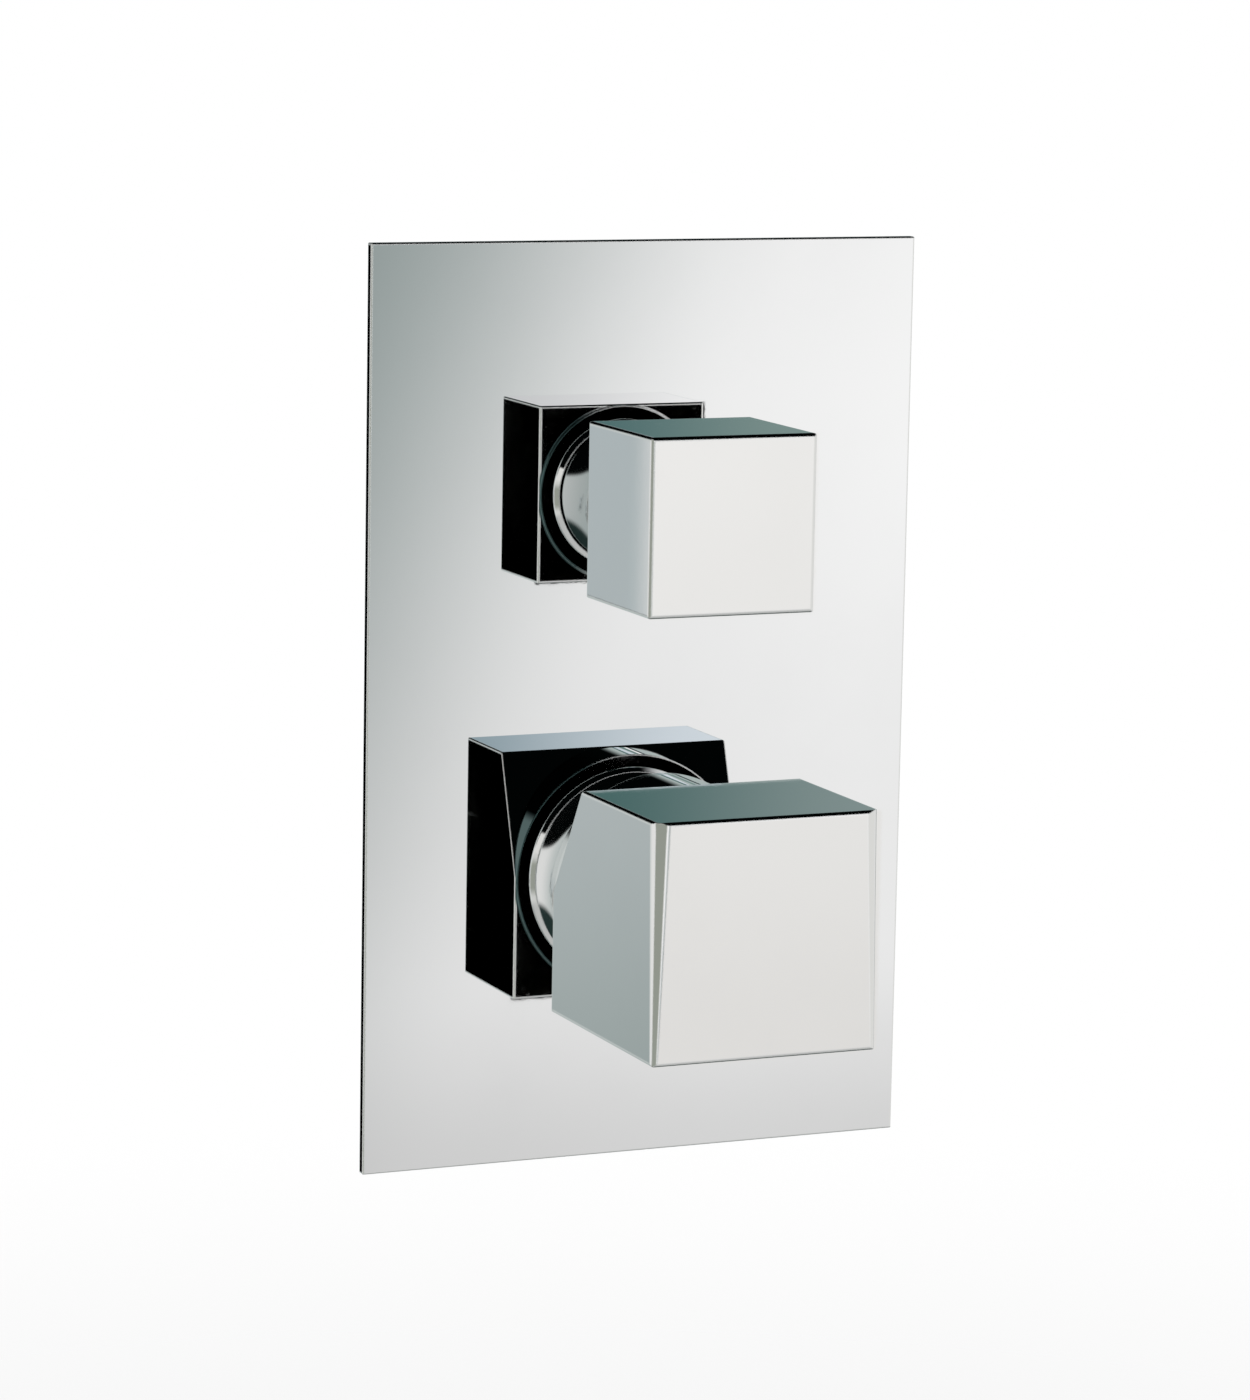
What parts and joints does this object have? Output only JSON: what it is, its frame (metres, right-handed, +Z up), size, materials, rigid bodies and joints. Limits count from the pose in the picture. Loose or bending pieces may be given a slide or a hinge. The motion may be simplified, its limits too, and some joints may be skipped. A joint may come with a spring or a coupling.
{
  "type": "concealed shower mixer",
  "caption": "Concealed thermostatic shower mixer: upright chrome wall plate with a cube flow handle above a larger cube temperature handle, on round necks, with the brass valve behind.",
  "frame": {"origin": "middle of the wall plate, on the finished wall", "axes": "+Z up, +Y into the wall, +X to the right as seen from the room"},
  "size_m": [0.139, 0.174, 0.22],
  "materials": {
    "chrome_trim": "polished chrome plate",
    "cast_brass": "sand-cast, lightly blasted",
    "turned_brass": "turned",
    "black_rubber": "matt",
    "grey_foam": "closed-cell foam",
    "white_ceramic": "lapped ceramic",
    "pale_plastic": "moulded",
    "stainless_steel": "plain stainless",
    "copper": "drawn copper"
  },
  "bodies": {
    "valve": {"wall_plate": "chrome_trim", "plate_seal": "grey_foam", "flow_boss": "chrome_trim", "flow_boss_seal": "black_rubber", "flow_collar": "chrome_trim", "flow_sleeve": "turned_brass", "flow_headwork": "turned_brass", "flow_headwork_seal": "black_rubber", "flow_disc_fixed": "white_ceramic", "flow_seat_seal": "black_rubber", "temperature_boss": "chrome_trim", "temperature_boss_seal": "black_rubber", "temperature_collar": "chrome_trim", "temperature_sleeve": "turned_brass", "temperature_stop_ring": "pale_plastic", "valve_body": "cast_brass", "thermostat_cage": "turned_brass", "thermostat_cage_seals": "black_rubber", "thermostat_end_ring": "turned_brass", "thermostat_gland_nut": "turned_brass", "thermostat_spring": "stainless_steel", "hot_check_housing": "pale_plastic", "hot_check_spring": "stainless_steel", "cold_check_housing": "pale_plastic", "cold_check_spring": "stainless_steel", "inlet_strainers": "stainless_steel"},
    "flow_handle": {"flow_knob": "chrome_trim", "flow_neck": "chrome_trim", "flow_insert": "pale_plastic", "flow_grub_screw": "stainless_steel", "flow_extension": "turned_brass", "flow_spindle": "turned_brass", "flow_spindle_seals": "black_rubber", "flow_circlip": "stainless_steel", "flow_disc_turning": "white_ceramic"},
    "temperature_handle": {"temperature_knob": "chrome_trim", "temperature_neck": "chrome_trim", "temperature_insert": "pale_plastic", "temperature_grub_screw": "stainless_steel", "temperature_extension": "turned_brass", "temperature_spindle": "turned_brass", "temperature_spindle_seals": "black_rubber", "temperature_circlip": "stainless_steel"},
    "thermostat": {"thermostat_pusher": "turned_brass", "thermostat_element": "copper", "thermostat_shuttle": "stainless_steel"},
    "hot_check": {"hot_check_poppet": "pale_plastic"},
    "cold_check": {"cold_check_poppet": "pale_plastic"}
  },
  "joints": [
    {"name": "flow_turn", "type": "hinge", "parent": "valve", "child": "flow_handle", "pos_m": [-0.016, 0, 0.0535], "axis": [0, -1, 0], "range_deg": [0, 90]},
    {"name": "temperature_turn", "type": "hinge", "parent": "valve", "child": "temperature_handle", "pos_m": [-0.016, 0, -0.0345], "axis": [0, -1, 0], "range_deg": [-180, 60]},
    {"name": "thermostat_slide", "type": "slide", "parent": "valve", "child": "thermostat", "axis": [0, -1, 0], "range_m": [-0.0013, 0.0005], "deforming": ["thermostat_spring"]},
    {"name": "hot_check_lift", "type": "slide", "parent": "valve", "child": "hot_check", "axis": [0, 0, 1], "range_m": [0, 0.003], "stiffness_N_per_m": 40, "springref_m": -0.002, "deforming": ["hot_check_spring"]},
    {"name": "cold_check_lift", "type": "slide", "parent": "valve", "child": "cold_check", "axis": [0, 0, 1], "range_m": [0, 0.003], "stiffness_N_per_m": 40, "springref_m": -0.002, "deforming": ["cold_check_spring"]}
  ],
  "couplings": [
    {"joint": "thermostat_slide", "follows": "temperature_turn", "m_per_rad": 0.00038197}
  ]
}
